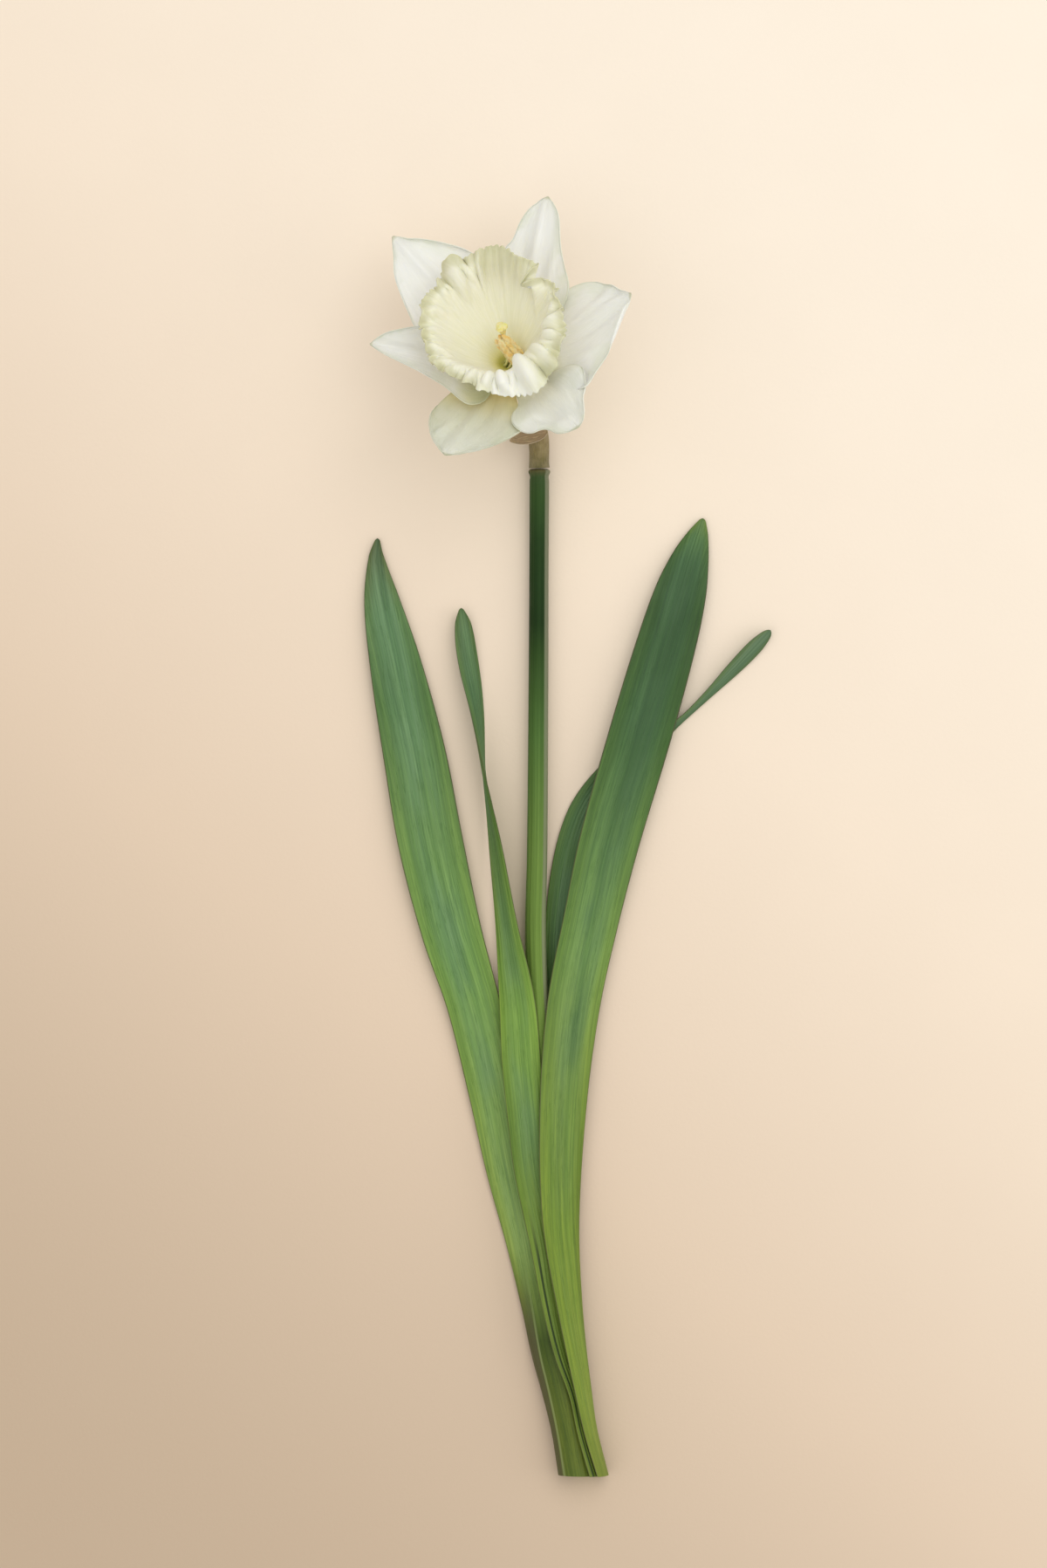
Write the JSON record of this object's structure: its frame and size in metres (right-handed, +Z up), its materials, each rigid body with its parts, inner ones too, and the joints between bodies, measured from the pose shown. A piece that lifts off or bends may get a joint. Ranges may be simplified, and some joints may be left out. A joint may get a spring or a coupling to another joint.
{
  "type": "cut narcissus flower",
  "caption": "Cut narcissus lying on a surface: a frilled cream trumpet in white tepals on a green stem, with long strap leaves sheathing its foot.",
  "frame": {"origin": "middle of the flower's bounding box in plan, on the surface that it lies on", "axes": "+Z up from the surface, +Y along the stem from the cut foot towards the bloom, +X to the right as seen from above with the bloom ahead"},
  "size_m": [0.1306, 0.4065, 0.0692],
  "materials": {
    "leaf": "matt blue-green with fine long veins, yellow-green low down",
    "scape": "satin green, ribbed, dark at the top and yellow-green low down",
    "spathe": "dry papery tan with fine veins",
    "ovary_tube": "satin green, paler towards the bloom",
    "tepal": "soft satin white with long veins",
    "corona": "soft satin cream, olive in the throat",
    "anther": "matt orange pollen",
    "stigma": "satin pale yellow"
  },
  "bodies": {
    "root": {"scape": "scape", "spathe": "spathe", "ovary_tube": "ovary_tube", "perianth": "tepal", "corona": "corona", "stamens": "anther", "style": "stigma", "leaf_left": "leaf", "leaf_narrow": "leaf", "leaf_right": "leaf", "leaf_back": "leaf"}
  },
  "joints": []
}
